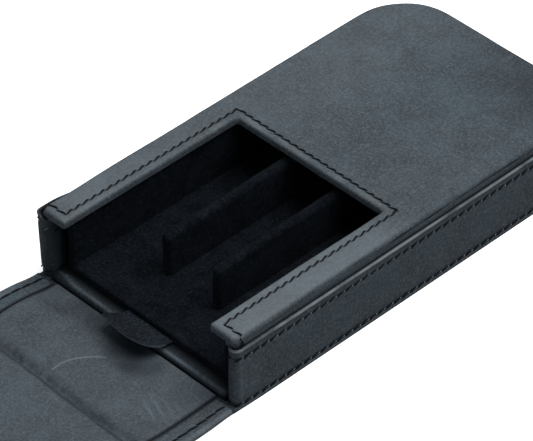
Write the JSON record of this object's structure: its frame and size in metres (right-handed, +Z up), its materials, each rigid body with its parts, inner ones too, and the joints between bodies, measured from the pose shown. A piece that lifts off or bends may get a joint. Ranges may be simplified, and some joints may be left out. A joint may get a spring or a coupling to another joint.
{
  "type": "pen case",
  "caption": "Rounded leather pen case with a window at the mouth, a pull-out lined tray with long lanes, a pull tab and a fold-over flap with hidden magnets.",
  "frame": {"origin": "centre of the case's base on the table, midway between its sides and between its front lip and its back", "axes": "+Z up, the mouth, the lip and the open flap point along -Y, +X to the right seen from the mouth"},
  "size_m": [0.097, 0.322, 0.031],
  "materials": {
    "leather": "matt waxed grain, blue-grey black, paler where it is rubbed",
    "inner_leather": "smooth waxed leather, creased and scuffed",
    "suede": "short-napped black suede",
    "board": "grey bookbinding board",
    "magnet": "plated disc magnet",
    "catch_steel": "plain steel disc"
  },
  "bodies": {
    "case": {"sole": "leather", "floor_board": "board", "lip_strip": "leather", "floor_lining": "suede", "wall_left": "board", "wall_right": "board", "wall_back": "board", "side_band": "leather", "lining_left": "suede", "lining_right": "suede", "lining_back": "suede", "top_board": "board", "top_cover": "leather", "ceiling_lining": "suede", "magnet_left": "magnet", "magnet_right": "magnet"},
    "tray": {"tray_underlay": "suede", "tray_base": "board", "tray_floor": "suede", "tray_wall_left": "board", "tray_wall_right": "board", "tray_wall_back": "board", "tray_suede_left": "suede", "tray_suede_right": "suede", "tray_suede_back": "suede", "divider_board_left": "board", "divider_board_right": "board", "divider_suede_left": "suede", "divider_suede_right": "suede"},
    "tab": {"pull_tab": "leather"},
    "flap_front": {"flap_front_cover": "leather", "flap_front_board": "board", "flap_front_lining": "inner_leather"},
    "flap_top": {"flap_top_cover": "leather", "flap_top_board": "board", "flap_top_lining": "inner_leather", "catch_plate_left": "catch_steel", "catch_plate_right": "catch_steel"}
  },
  "joints": [
    {"name": "flap_fold", "type": "hinge", "parent": "case", "child": "flap_front", "pos_m": [0, -0.09085, 0.00055], "axis": [-1, 0, 0], "range_deg": [0, 90]},
    {"name": "flap_crease", "type": "hinge", "parent": "flap_front", "child": "flap_top", "pos_m": [0, -0.12525, 0.00055], "axis": [-1, 0, 0], "range_deg": [0, 91]},
    {"name": "tray_slide", "type": "slide", "parent": "case", "child": "tray", "axis": [0, -1, 0], "range_m": [0, 0.215]},
    {"name": "tab_fold", "type": "hinge", "parent": "tray", "child": "tab", "pos_m": [0, -0.0846, 0.0051], "axis": [-1, 0, 0], "range_deg": [0, 72]}
  ],
  "couplings": [
    {"joint": "tab_fold", "follows": "flap_fold", "ratio": 0.8}
  ]
}
